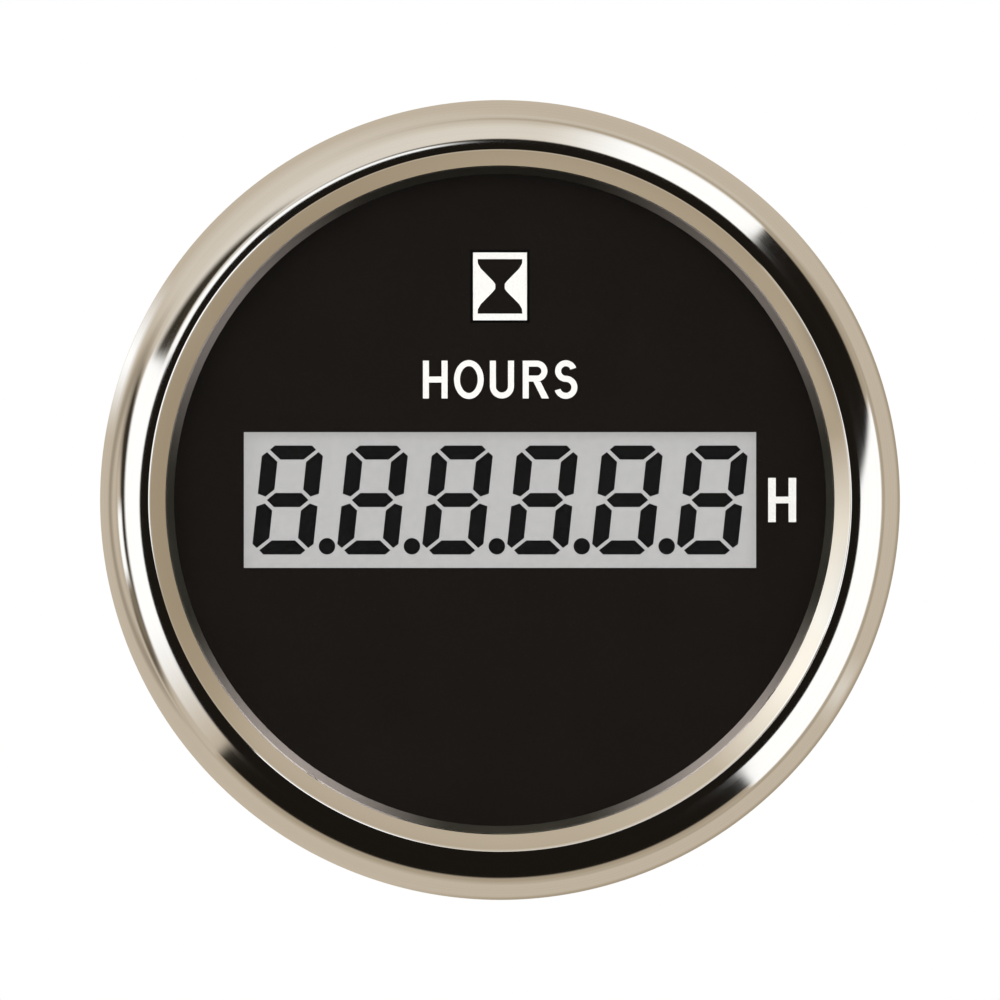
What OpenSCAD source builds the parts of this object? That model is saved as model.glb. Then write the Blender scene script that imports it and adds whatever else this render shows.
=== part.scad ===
// Round panel gauge that counts running hours, with its clamp bracket and thumb nuts.
// Lengths are in millimetres. Every piece is drawn along z, with the panel's front face at z = 0
// and the dial toward +z. It is then turned so that the dial looks toward -Y and up is +Z.

/* [Panel fit] */
// Diameter of the panel hole that takes the gauge
panel_hole_d = 52; // [51:0.1:54]
// Gap all round between the barrel and the panel hole
barrel_gap = 0.25; // [0.1:0.05:0.4]
// Thickness of the rubber gasket between the bezel and the panel
panel_gasket_t = 1; // [0.6:0.1:1.6]

/* [Housing] */
// Depth of the barrel behind the panel's front face
barrel_depth = 28; // [26:1:40]
// Wall thickness of the barrel
barrel_wall = 1.5; // [1.2:0.1:1.8]
// Thickness of the rear wall inside its rim
rear_wall_t = 2; // [1.6:0.1:3]
// Depth of the shallow recess inside the rear rim
rear_recess = 0.8; // [0.4:0.1:1.2]
// Thickness of the flange that the bezel grips
flange_t = 1.8; // [1.4:0.1:2.4]
// Width of the seat that lies on the panel around the barrel
seat_w = 0.85; // [0.6:0.05:1.2]
// Thickness of the ledge that the dial lies on
dial_ledge_t = 0.7; // [0.4:0.1:1.4]
// Wall thickness of the collar around the lens
collar_wall = 1; // [0.7:0.1:1.2]

/* [Bezel] */
// Outside diameter of the bezel
bezel_d = 60; // [59:0.2:64]
// Thickness of the bezel's sheet metal
bezel_sheet = 0.5; // [0.4:0.05:0.6]
// Radius of the round bead from the crest to the skirt
bead_r = 3.65; // [3:0.05:3.8]
// Width of the sloping lip from the crest to its inner edge
lip_w = 1.3; // [1.2:0.05:1.8]
// Slope of the lip
lip_angle = 42; // [30:1:45]
// Outside radius of the edge between the bead and the lip
crest_edge = 0.2; // [0.1:0.05:0.4]
// Height of the lip's upright inner edge
lip_edge = 0.25; // [0.15:0.05:0.4]
// Width of the crimp behind the flange
crimp_w = 2.1; // [1.7:0.1:2.6]

/* [Lens and dial] */
// Thickness of the lens
lens_t = 2; // [1.5:0.1:3]
// Reach of the lens outside the bezel's crest
lens_cover = 0.6; // [0.4:0.1:0.8]
// Thickness of the gasket between the lens and the lip
lens_gasket_t = 0.3; // [0.2:0.1:0.6]
// Height of the ring that spaces the lens from the dial
dial_ring_h = 2; // [1.5:0.1:3]
// Width of the ring that shows inside the lip
dial_ring_show = 0.5; // [0.3:0.05:0.8]
// Thickness of the dial plate
dial_t = 0.5; // [0.4:0.1:0.8]

/* [Display] */
// Width of the window in the dial
window_w = 38.5; // [38:0.1:39]
// Height of the window in the dial
window_h = 10.2; // [9.6:0.1:10.8]
// Width of one digit
digit_w = 4.6; // [4:0.05:4.7]
// Height of one digit
digit_h = 8.2; // [7:0.05:8.6]
// Distance from one digit to the next
digit_pitch = 6.39; // [6.2:0.01:6.4]
// Lean of the digits to the right
digit_slant = 6.1; // [0:0.1:8]
// Height of a level segment
segment_w = 1.06; // [0.8:0.02:1.2]
// Width of an upright segment
upright_w = 1.22; // [0.8:0.02:1.3]
// Gap between two segments
segment_gap = 0.26; // [0.2:0.02:0.4]
// Diameter of the points between the digits
point_d = 1.24; // [0.8:0.02:1.3]
// Distance from the side of a digit to the middle of its point
point_reach = 1.03; // [0.95:0.01:1.1]
// Thickness of each display glass
glass_t = 1.1; // [0.7:0.1:1.3]
// Space between the two glasses
cell_t = 0.1; // [0.06:0.01:0.2]
// Thickness of each optical film
film_t = 0.2; // [0.15:0.05:0.3]
// Thickness of the light guide
guide_t = 2.5; // [2:0.1:3.5]
// Height of the front glass's ledge that the contact strips press on
ledge_h = 2.2; // [2:0.1:2.4]
// Wall thickness of the display holder
holder_wall = 0.9; // [0.7:0.1:1]
// Thickness of a backlight lamp
lamp_t = 1.2; // [0.8:0.1:1.4]
// Length of a backlight lamp
lamp_w = 3; // [2:0.1:4]
// Height of a backlight lamp
lamp_h = 1.6; // [1:0.1:2]

/* [Circuit board] */
// Thickness of the circuit board
board_t = 1.6; // [1:0.1:2]
// Diameter of the board screws' thread
board_screw_d = 2.5; // [2:0.1:3]
// Length of the board screws under the head
board_screw_l = 8; // [7:0.5:12]
// Thickness of the holder's screw ears
ear_t = 1.2; // [1:0.1:1.8]

/* [Board parts] */
// Side of the microcontroller
controller_w = 9; // [7:0.5:10]
// Thickness of the microcontroller
controller_t = 1.4; // [1:0.1:1.6]
// Width of the memory chip
memory_w = 3.9; // [3:0.1:4.4]
// Length of the memory chip
memory_l = 4.9; // [4:0.1:5.4]
// Thickness of the memory chip
memory_t = 1.5; // [1:0.1:1.8]
// Length of the clock crystal's can
crystal_l = 9.8; // [8:0.1:11]
// Width of the clock crystal's can
crystal_w = 3.8; // [3:0.1:4.2]
// Height of the clock crystal's can
crystal_h = 3.5; // [2.5:0.1:4]
// Width of the voltage regulator
regulator_w = 6.5; // [5:0.1:7]
// Length of the voltage regulator
regulator_l = 3.5; // [3:0.1:4]
// Thickness of the voltage regulator
regulator_t = 1.6; // [1.2:0.1:1.8]
// Diameter of the smoothing capacitor
capacitor_d = 6.3; // [5:0.1:7]
// Height of the smoothing capacitor
capacitor_h = 7.7; // [5:0.1:9]
// Length of the input diode
diode_l = 4.3; // [3.6:0.1:4.8]
// Width of the input diode
diode_w = 2.6; // [2:0.1:3]
// Height of the input diode
diode_h = 2.2; // [1.6:0.1:2.6]
// Length of the surge suppressor
suppressor_l = 4.6; // [4:0.1:5]
// Width of the surge suppressor
suppressor_w = 3.6; // [3:0.1:4]
// Height of the surge suppressor
suppressor_h = 2.4; // [2:0.1:2.8]

/* [Studs and terminals] */
// Thread diameter of the two studs
stud_d = 4; // [3:0.1:4.4]
// Distance between the studs
stud_spacing = 30; // [28:0.5:32]
// Length of the studs behind the rear wall
stud_l = 22; // [20:1:30]
// Width of a blade terminal
blade_w = 6.3; // [4.8:0.1:6.8]
// Thickness of a blade terminal
blade_t = 0.8; // [0.6:0.1:1]
// Length of a blade behind the rear wall
blade_l = 9.5; // [8:0.5:12]
// Distance from one blade to the next
blade_pitch = 10; // [9.2:0.1:10.4]
// Height of the row of blades above the gauge's axis
blade_rise = 13; // [12:0.1:14]
// Height of the terminal block behind the rear wall
block_h = 1.5; // [1:0.1:2]

/* [Clamp] */
// Thickness of the clamp bracket's strap
strap_t = 1.5; // [1.2:0.1:2]
// Width of the strap
strap_w = 14; // [12:0.5:15]
// Inside radius of the strap's bends
strap_bend = 2; // [1.5:0.1:3]
// Gap between the barrel and each leg
leg_gap = 1.05; // [0.9:0.05:1.4]
// Distance from the panel's front face to the feet as drawn
foot_gap = 6; // [4:0.5:8]
// Distance from the rear wall to the bracket's bridge as drawn
bridge_gap = 6; // [6:0.5:8]
// Diameter of the flat washers
washer_d = 9; // [8:0.5:10]
// Thickness of the flat washers
washer_t = 0.8; // [0.5:0.1:1.2]
// Thickness of the spring washers
spring_washer_t = 1; // [0.8:0.1:1.2]
// Diameter of a thumb nut
nut_d = 11; // [10:0.5:12]
// Length of a thumb nut
nut_l = 5.5; // [5:0.5:7]
// Number of grooves around a thumb nut
nut_grooves = 30; // [20:1:36]

/* [Hidden] */
$fn = 96;
// Clearances
seat_gap = 0.1;
press_gap = 0.05;
stud_gap = 0.25;
nut_gap = 0.2;
// Small step that lets a cut run past a face
past = 0.5;
// Hair gap beside a glass that is seen through
optical_gap = 0.02;

// Housing and bezel, from the panel forward
barrel_r = panel_hole_d / 2 - barrel_gap;
barrel_in = barrel_r - barrel_wall;
land_r = barrel_r + seat_w;
bezel_r = bezel_d / 2;
crest_r = bezel_r - bead_r;
lip_r = crest_r - lip_w;
flange_z = panel_gasket_t + bezel_sheet;
flange_r = bezel_r - bezel_sheet - 0.15;
dial_z = flange_z + dial_ledge_t;
dial_front_z = dial_z + dial_t;
lens_z = dial_front_z + dial_ring_h;
lens_front_z = lens_z + lens_t;
lip_z = lens_front_z + lens_gasket_t;
lip_start_r = crest_r - crest_edge * sin(lip_angle);
lip_rise = (lip_start_r - lip_r) * tan(lip_angle);
bezel_top = lip_z + lip_edge + lip_rise + crest_edge * (1 - cos(lip_angle));
crest_z = bezel_top - crest_edge;
bead_z = bezel_top - bead_r;
crimp_bend = bezel_sheet + 0.3;
lens_r = crest_r + lens_cover;
collar_in = lens_r + seat_gap;
collar_r = collar_in + collar_wall;
collar_z = lens_front_z - 0.5;
dial_r = lip_r + 0.35;
dial_bore_r = dial_r + seat_gap;
dial_show_r = lip_r - seat_gap / 2 - dial_ring_show;

// Display, from the dial backward
digits = 6;
front_film_z = dial_z - film_t;
front_glass_z = front_film_z - glass_t;
cell_z = front_glass_z - cell_t;
rear_glass_z = cell_z - glass_t;
rear_film_z = rear_glass_z - optical_gap - film_t;
diffuser_z = rear_film_z - film_t;
guide_z = diffuser_z - guide_t;
board_front_z = guide_z - film_t;
board_rear_z = board_front_z - board_t;
glass_w = window_w + 3.4;
rear_glass_h = window_h + 1.4;
glass_h = rear_glass_h + 2 * ledge_h;
guide_w = glass_w - 2 * lamp_t;
guide_h = rear_glass_h - 2 * seat_gap;
lamp_notch = 0.2;
cavity_w = glass_w + 2 * seat_gap;
cavity_h = glass_h + 2 * seat_gap;
holder_h = cavity_h + 2 * holder_wall;
holder_r = barrel_in - 0.2;

// Board, posts and rear wall
board_r = barrel_in - 0.35;
post_r = 3.2;
post_ring_r = barrel_in - post_r + 0.35;
screw_head_r = board_screw_d * 0.85;
post_angle = 35;
post_x = post_ring_r * cos(post_angle);
post_y = post_ring_r * sin(post_angle);
rear_floor_z = rear_recess - barrel_depth;
rear_in_z = rear_floor_z + rear_wall_t;
rear_edge = 1;
rear_rim_r = barrel_r - 2.6;
stud_head_w = 7;
stud_head_t = 2.2;
tail_w = 1.2;
tail_end_z = board_front_z + 0.8;
shoulder_w = blade_w + 1.2;
shoulder_h = 1.5;

// Places of the board's parts, from the gauge's axis
column_x = 12;
controller_drop = 3;
crystal_drop = 14;
memory_drop = 7.5;
regulator_drop = 6.5;
capacitor_rise = 3;
diode_rise = 6;
// Shared details of the board's parts
stand_off = 0.1;
foot_t = 0.35;
lead_pitch = 0.8;
wide_lead_pitch = 1.27;

// Clamp
foot_z = -foot_gap;
leg_in = barrel_r + leg_gap;
bridge_z = -barrel_depth - bridge_gap;
bridge_rear_z = bridge_z - strap_t;
washer_z = bridge_rear_z - washer_t;
spring_washer_z = washer_z - spring_washer_t;
nut_end_z = spring_washer_z - nut_l;
rib_r = strap_t + 0.7;
rib_l = 10;

// Turns a piece drawn along z into the gauge's frame
module turned() {
    rotate([90, 0, 0]) children();
}

// Ring from radius r0 to r1 and from z0 to z1
module ring(r0, r1, z0, z1) {
    rotate_extrude() translate([r0, z0]) square([r1 - r0, z1 - z0]);
}

// Upright rod from z0 to z1
module rod(r, z0, z1, x = 0, y = 0) {
    translate([x, y, z0]) cylinder(r = r, h = z1 - z0);
}

// Block of width w and height h from z0 to z1
module block(w, h, z0, z1, x = 0, y = 0) {
    translate([x - w / 2, y - h / 2, z0]) cube([w, h, z1 - z0]);
}

// Flat outline in x and z, made as thick as t about y
module plate_xz(t, y = 0) {
    translate([0, y + t / 2, 0]) rotate([90, 0, 0]) linear_extrude(t) children();
}

// Quarter bend of sheet about the origin, in the quadrant that sy picks on the +x side
module bend(r_out, t, sy) {
    intersection() {
        difference() {
            circle(r = r_out);
            circle(r = r_out - t);
        }
        translate([0, sy > 0 ? 0 : -r_out]) square(r_out);
    }
}

// Both copies of something drawn at +x
module both_sides() {
    children();
    mirror([1, 0, 0]) children();
}

// Something drawn at each of the four posts
module at_posts() {
    for (sx = [-1, 1], sy = [-1, 1])
        translate([sx * post_x, sy * post_y, 0]) children();
}

module bezel_section() {
    translate([crest_r, bead_z]) bend(bead_r, bezel_sheet, 1);
    translate([bezel_r - bezel_sheet, panel_gasket_t + crimp_bend])
        square([bezel_sheet, bead_z - panel_gasket_t - crimp_bend]);
    translate([bezel_r - crimp_bend, panel_gasket_t + crimp_bend]) bend(crimp_bend, bezel_sheet, -1);
    translate([bezel_r - crimp_w, panel_gasket_t]) square([crimp_w - crimp_bend, bezel_sheet]);
    intersection() {
        translate([crest_r, crest_z]) circle(r = crest_edge);
        polygon([
            [crest_r, crest_z],
            [crest_r, crest_z + 2 * crest_edge],
            [crest_r - 2 * crest_edge * sin(lip_angle), crest_z + 2 * crest_edge * cos(lip_angle)]
        ]);
    }
    in_r = crest_r + (bezel_sheet - crest_edge) * tan(lip_angle / 2);
    in_z = bezel_top - bezel_sheet;
    polygon([
        [crest_r, crest_z],
        [lip_start_r, crest_z + crest_edge * cos(lip_angle)],
        [lip_r, lip_z + lip_edge],
        [lip_r, lip_z],
        [in_r - (in_z - lip_z) / tan(lip_angle), lip_z],
        [in_r, in_z]
    ]);
}

module bezel() {
    color("Gainsboro") turned() rotate_extrude() bezel_section();
}

module lens() {
    edge = 0.2;
    color("LightCyan", 0.3) turned() rotate_extrude() polygon([
        [0, lens_z], [lens_r - edge, lens_z], [lens_r, lens_z + edge],
        [lens_r, lens_front_z - edge], [lens_r - edge, lens_front_z], [0, lens_front_z]
    ]);
}

module lens_gasket() {
    color("DimGray") turned() ring(lip_r + 0.2, lens_r - 0.3, lens_front_z, lip_z);
}

module dial_ring() {
    color("DarkSlateGray") turned() rotate_extrude() polygon([
        [dial_show_r, dial_front_z], [dial_r, dial_front_z], [dial_r, lens_z],
        [lip_r - seat_gap / 2, lens_z]
    ]);
}

module dial_plate() {
    color([0.1, 0.1, 0.1]) turned() difference() {
        rod(dial_r, dial_z, dial_front_z);
        block(window_w, window_h, dial_z - past, dial_front_z + past);
    }
}

module front_polarizer() {
    color("LightGray", 0.4) turned() block(window_w + 2, window_h + 1.6, front_film_z, dial_z);
}

module front_glass() {
    color("LightBlue", 0.4) turned() block(glass_w, glass_h, front_glass_z, front_film_z);
}

// Leans a digit's corner to the right
function lean(p) = [p[0] + p[1] * tan(digit_slant), p[1]];

module segment(corners, sx = 1, sy = 1) {
    linear_extrude(cell_t - optical_gap) polygon([for (p = corners) lean([sx * p[0], sy * p[1]])]);
}

module digit() {
    hw = digit_w / 2;
    hh = digit_h / 2;
    u = upright_w;
    s = segment_w;
    // Half the gap, measured level and upright from the slanting joint at an outer corner
    joint = sqrt(u * u + s * s);
    dx = segment_gap / 2 * joint / s;
    dy = segment_gap / 2 * joint / u;
    // Share of the joint that the round outer corner takes, and its reach along the edges
    cut = 0.3;
    reach = 0.58;
    // Heights above the middle where an upright segment ends: at its tip, inside and outside
    tip = segment_gap;
    tip_in = tip + 0.5 * s;
    tip_out = tip + 0.2 * s;
    cross_tip = 0.6 * u;
    cross_top = 1.08 * u;
    for (sy = [-1, 1]) {
        segment([
            [dx + reach * u - hw, hh], [hw - dx - reach * u, hh], [hw - dx - cut * u, hh - cut * s],
            [hw - dx - u, hh - s], [dx + u - hw, hh - s], [dx + cut * u - hw, hh - cut * s]
        ], 1, sy);
        for (sx = [-1, 1])
            segment([
                [hw, hh - dy - reach * s], [hw - cut * u, hh - dy - cut * s], [hw - u, hh - dy - s],
                [hw - u, tip_in], [hw - u / 2, tip], [hw, tip_out]
            ], sx, sy);
    }
    segment([
        [cross_tip - hw, 0], [cross_top - hw, s / 2], [hw - cross_top, s / 2],
        [hw - cross_tip, 0], [hw - cross_top, -s / 2], [cross_top - hw, -s / 2]
    ]);
}

module display_segments() {
    point_x = digit_w / 2 + point_reach;
    point_y = (point_d - digit_h) / 2;
    color([0.15, 0.15, 0.15]) turned() translate([0, 0, cell_z]) {
        for (i = [0:digits - 1])
            translate([(i - (digits - 1) / 2) * digit_pitch, 0, 0]) digit();
        for (i = [0:digits - 2])
            translate([(i - (digits - 1) / 2) * digit_pitch + lean([point_x, point_y])[0], point_y, 0])
                cylinder(d = point_d, h = cell_t - optical_gap);
    }
}

module cell_seal() {
    seal_w = 0.55;
    color("Silver") turned() difference() {
        block(glass_w, rear_glass_h, cell_z, front_glass_z);
        block(glass_w - 2 * seal_w, rear_glass_h - 2 * seal_w, cell_z - past, front_glass_z + past);
    }
}

module rear_glass() {
    color("LightBlue", 0.4) turned() block(glass_w, rear_glass_h, rear_glass_z, cell_z);
}

module rear_polarizer() {
    color("Silver") turned()
        block(glass_w - 0.8, rear_glass_h - 0.4, rear_film_z, rear_glass_z - optical_gap);
}

module diffuser_film() {
    color("White") turned() block(guide_w, guide_h, diffuser_z, rear_film_z);
}

module light_guide() {
    color("Azure", 0.6) turned() difference() {
        block(guide_w, guide_h, guide_z, diffuser_z);
        both_sides()
            block(2 * lamp_notch, lamp_w, guide_z - past, diffuser_z + past, guide_w / 2);
    }
}

module reflector_film() {
    color("White") turned() block(guide_w, guide_h, board_front_z, guide_z);
}

module backlight_lamps() {
    color("LemonChiffon") turned() both_sides() {
        block(lamp_t - 2 * press_gap, lamp_w, board_front_z, board_front_z + lamp_h,
            (guide_w + lamp_t) / 2);
        block(2 * (lamp_notch - press_gap), lamp_w - 0.6, board_front_z + 0.3,
            board_front_z + lamp_h - 0.3, guide_w / 2);
    }
}

module display_holder() {
    color([0.2, 0.2, 0.22]) turned() intersection() {
        rod(holder_r, board_front_z, dial_z);
        difference() {
            union() {
                block(cavity_w + 2 * holder_wall, holder_h, board_front_z, dial_z - seat_gap);
                at_posts() rod(2.7, board_front_z, board_front_z + ear_t);
                for (sx = [-1, 1])
                    block(5.4, 2 * post_y, board_front_z, board_front_z + ear_t, sx * post_x);
            }
            block(cavity_w, cavity_h, board_front_z - past, dial_z + past);
            at_posts()
                rod(board_screw_d / 2 + seat_gap, board_front_z - past, board_front_z + ear_t + past);
        }
    }
}

module contact_strip(side) {
    strip_h = ledge_h - 2 * seat_gap;
    color("SlateGray") turned()
        block(glass_w - 2, strip_h, board_front_z, front_glass_z, 0, side * (rear_glass_h + ledge_h) / 2);
}

module upper_contact_strip() {
    contact_strip(1);
}

module lower_contact_strip() {
    contact_strip(-1);
}

module circuit_board() {
    color("DarkGreen") turned() difference() {
        rod(board_r, board_rear_z, board_front_z);
        at_posts() rod(board_screw_d / 2 + seat_gap, board_rear_z - past, board_front_z + past);
        for (i = [-1:1])
            rod(tail_w / 2 + 0.35, board_rear_z - past, board_front_z + past, i * blade_pitch, blade_rise);
    }
}

module board_screws() {
    head_h = board_screw_d * 0.6;
    head_z = board_front_z + ear_t;
    color("Silver") turned() at_posts() difference() {
        rotate_extrude() polygon([
            [0, head_z - board_screw_l], [board_screw_d / 2 - 0.3, head_z - board_screw_l],
            [board_screw_d / 2, head_z - board_screw_l + 0.5], [board_screw_d / 2, head_z],
            [screw_head_r, head_z], [screw_head_r, head_z + 0.6 * head_h],
            [0.7 * screw_head_r, head_z + head_h], [0, head_z + head_h]
        ]);
        for (a = [0, 90])
            rotate([0, 0, a]) block(0.5, screw_head_r * 1.2, head_z + 0.5 * head_h, head_z + head_h + past);
    }
}

// Bent lead of a chip, standing on the board and reaching outward along x
module chip_lead(w) {
    plate_xz(w) polygon([
        [-0.2, -0.6], [0.5, -0.6], [0.7, -0.15], [1.2, -0.15],
        [1.2, 0], [0.55, 0], [0.35, -0.45], [-0.2, -0.45]
    ]);
}

// Chip with leads on two or four sides, hung on the rear of the board
module chip(w, h, t, leads, pitch, sides) {
    block(w, h, -t - stand_off, -stand_off);
    for (a = sides)
        rotate([0, 0, a])
            for (i = [0:leads - 1])
                translate([(a % 180 == 0 ? w : h) / 2, (i - (leads - 1) / 2) * pitch, 0])
                    chip_lead(pitch < 1 ? 0.36 : 0.42);
}

module on_board(x, y) {
    turned() translate([x, y, board_rear_z]) children();
}

module microcontroller() {
    leads = floor((controller_w - 1) / lead_pitch);
    color([0.12, 0.12, 0.13]) on_board(0, -controller_drop)
        chip(controller_w, controller_w, controller_t, leads, lead_pitch, [0, 90, 180, 270]);
}

module memory_chip() {
    leads = floor((memory_l + 0.4) / wide_lead_pitch);
    color([0.12, 0.12, 0.13]) on_board(-column_x, -memory_drop)
        chip(memory_w, memory_l, memory_t, leads, wide_lead_pitch, [0, 180]);
}

// Bar of length l with round ends, as wide as w
module round_bar(l, w, z0, z1) {
    block(l - w, w, z0, z1);
    both_sides() rod(w / 2, z0, z1, (l - w) / 2);
}

module clock_crystal() {
    rim = 0.4;
    rim_end = 0.6;
    rim_h = 0.6;
    color("LightGray") on_board(0, -crystal_drop) {
        round_bar(crystal_l + 2 * rim_end, crystal_w + 2 * rim, -rim_h, 0);
        round_bar(crystal_l, crystal_w, -crystal_h, -rim_h);
    }
}

module voltage_regulator() {
    foot_l = 2;
    foot_y = (regulator_l + foot_l) / 2 - 0.15;
    color([0.15, 0.15, 0.16]) on_board(column_x, -regulator_drop) {
        block(regulator_w, regulator_l, -regulator_t - stand_off, -stand_off);
        block(regulator_w * 0.46, foot_l, -foot_t, 0, 0, foot_y);
        for (i = [-1:1])
            block(0.7, foot_l, -foot_t, 0, i * regulator_w * 0.35, -foot_y);
    }
}

module smoothing_capacitor() {
    base_w = capacitor_d + 0.3;
    base_h = 1;
    r = capacitor_d / 2;
    groove = 0.2;
    groove_z = -base_h - 1;
    color("LightSteelBlue") on_board(column_x, capacitor_rise) {
        difference() {
            block(base_w, base_w, -base_h, 0);
            for (sx = [-1, 1])
                translate([sx * base_w / 2, base_w / 2, 0]) rotate([0, 0, 45])
                    block(base_w / 4, base_w / 4, -base_h - past, past);
        }
        rotate_extrude() polygon([
            [0, -base_h], [r, -base_h], [r, groove_z + groove], [r - groove, groove_z],
            [r, groove_z - groove], [r, 0.3 - capacitor_h], [r - 0.3, -capacitor_h], [0, -capacitor_h]
        ]);
    }
}

// Moulded two-lead part with feet that wrap round its ends
module two_lead(l, w, h) {
    foot_l = 1.3;
    block(l, w, -h, -stand_off);
    both_sides() block(foot_l, 0.5 * w, -foot_t, 0, l / 2 + 0.1);
}

module input_diode() {
    color([0.15, 0.15, 0.15]) on_board(-column_x, diode_rise) two_lead(diode_l, diode_w, diode_h);
}

module surge_suppressor() {
    color([0.2, 0.2, 0.2]) on_board(-column_x, 0) two_lead(suppressor_l, suppressor_w, suppressor_h);
}

module housing_section() {
    difference() {
        union() {
            translate([0, -barrel_depth]) square([barrel_r, barrel_depth + flange_z]);
            square([land_r, flange_z]);
            translate([0, flange_z]) square([flange_r, flange_t]);
            translate([0, flange_z]) square([collar_r, collar_z - flange_z]);
        }
        translate([-1, rear_in_z]) square([barrel_in + 1, dial_z - rear_in_z + past]);
        translate([-1, dial_z]) square([dial_bore_r + 1, collar_z]);
        translate([-1, lens_z]) square([collar_in + 1, collar_z]);
        translate([-1, -barrel_depth - 1]) square([rear_rim_r + 1, rear_recess + 1]);
        translate([barrel_r - rear_edge, rear_edge - barrel_depth]) difference() {
            translate([0, -rear_edge - 1]) square(rear_edge + 1);
            circle(r = rear_edge);
        }
    }
}

module housing() {
    stud_x = stud_spacing / 2;
    block_end_z = -barrel_depth - block_h;
    color([0.16, 0.16, 0.17]) turned() difference() {
        union() {
            rotate_extrude() housing_section();
            at_posts() rod(post_r, rear_in_z - past, board_rear_z);
            both_sides() {
                rod(stud_head_w / 2 + 2, rear_in_z - past, rear_in_z + stud_head_t, stud_x);
                rod(stud_d / 2 + 2.6, -barrel_depth - 0.6, rear_floor_z + past, stud_x);
            }
            block(2 * blade_pitch + blade_w + 2.6, blade_t + 4.4, block_end_z, rear_floor_z + past,
                0, blade_rise);
        }
        at_posts() rod(board_screw_d / 2 + press_gap, board_rear_z - board_screw_l, board_rear_z + past);
        both_sides() {
            rod(stud_d / 2 + press_gap, -barrel_depth - 2, rear_in_z + past, stud_x);
            translate([stud_x, 0, rear_in_z])
                cylinder(d = stud_head_w + 2 * press_gap, h = stud_head_t + past, $fn = 6);
        }
        for (i = [-1:1])
            block(blade_w + 2 * press_gap, blade_t + 2 * press_gap, block_end_z - past, rear_in_z + past,
                i * blade_pitch, blade_rise);
    }
}

module panel_gasket() {
    color([0.1, 0.1, 0.1]) turned() ring(land_r + seat_gap, bezel_r - 0.7, 0, panel_gasket_t);
}

module stud(side) {
    r = stud_d / 2;
    end_z = -barrel_depth - stud_l;
    color("Gold") turned() translate([side * stud_spacing / 2, 0, 0]) {
        rotate_extrude() polygon([
            [0, end_z], [r - 0.6, end_z], [r, end_z + 0.6], [r, rear_in_z + 0.5], [0, rear_in_z + 0.5]
        ]);
        translate([0, 0, rear_in_z]) cylinder(d = stud_head_w, h = stud_head_t, $fn = 6);
    }
}

module stud_left() {
    stud(-1);
}

module stud_right() {
    stud(1);
}

module blade(place) {
    tip_z = -barrel_depth - blade_l;
    color("Goldenrod") turned() translate([place * blade_pitch, blade_rise, 0]) difference() {
        plate_xz(blade_t) {
            polygon([
                [1.2 - blade_w / 2, tip_z], [blade_w / 2 - 1.2, tip_z], [blade_w / 2, tip_z + 1.5],
                [blade_w / 2, rear_in_z], [shoulder_w / 2, rear_in_z],
                [shoulder_w / 2, rear_in_z + shoulder_h], [tail_w / 2, rear_in_z + shoulder_h],
                [tail_w / 2, tail_end_z], [-tail_w / 2, tail_end_z],
                [-tail_w / 2, rear_in_z + shoulder_h], [-shoulder_w / 2, rear_in_z + shoulder_h],
                [-shoulder_w / 2, rear_in_z], [-blade_w / 2, rear_in_z], [-blade_w / 2, tip_z + 1.5]
            ]);
        }
        translate([0, 0, tip_z + 3.2]) rotate([90, 0, 0]) cylinder(d = 1.6, h = 4, center = true);
    }
}

module supply_terminal() {
    blade(1);
}

module ground_terminal() {
    blade(-1);
}

module light_terminal() {
    blade(0);
}

module clamp_section() {
    both_sides() {
        translate([leg_in, bridge_z + strap_bend]) square([strap_t, foot_z - bridge_z - strap_bend]);
        translate([leg_in - strap_bend, bridge_z + strap_bend]) bend(strap_bend + strap_t, strap_t, -1);
    }
    translate([strap_bend - leg_in, bridge_rear_z]) square([2 * (leg_in - strap_bend), strap_t]);
}

// Round-ended bar along x that forms the rib pressed into the bridge
module rib(r) {
    translate([-rib_l / 2, 0, bridge_z]) rotate([0, 90, 0]) cylinder(r = r, h = rib_l);
    translate([-rib_l / 2, 0, bridge_z]) sphere(r = r);
    translate([rib_l / 2, 0, bridge_z]) sphere(r = r);
}

module clamp_bracket() {
    foot_cut = 2;
    color("LightSteelBlue") turned() difference() {
        union() {
            plate_xz(strap_w) clamp_section();
            intersection() {
                rib(rib_r);
                block(2 * leg_in, 2 * rib_r + 1, bridge_z - 2 * rib_r, bridge_z - strap_t / 2);
            }
        }
        rib(rib_r - strap_t);
        both_sides() rod(stud_d / 2 + stud_gap, bridge_rear_z - past, bridge_z + past, stud_spacing / 2);
        for (sx = [-1, 1], sy = [-1, 1])
            translate([sx * (leg_in + strap_t / 2), sy * strap_w / 2, foot_z]) rotate([45, 0, 0])
                cube([strap_t + 2, foot_cut, foot_cut], center = true);
    }
}

module flat_washers() {
    color("Silver") turned() both_sides() translate([stud_spacing / 2, 0, 0])
        ring(stud_d / 2 + stud_gap, washer_d / 2, washer_z, bridge_rear_z);
}

module spring_washers() {
    color("DarkGray") turned() both_sides() translate([stud_spacing / 2, 0, 0]) difference() {
        ring(stud_d / 2 + stud_gap, stud_d / 2 + 1.7, spring_washer_z, washer_z);
        translate([0, stud_d / 2 + 1, (spring_washer_z + washer_z) / 2]) rotate([0, 20, 0])
            cube([0.7, 4, 4], center = true);
    }
}

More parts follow.
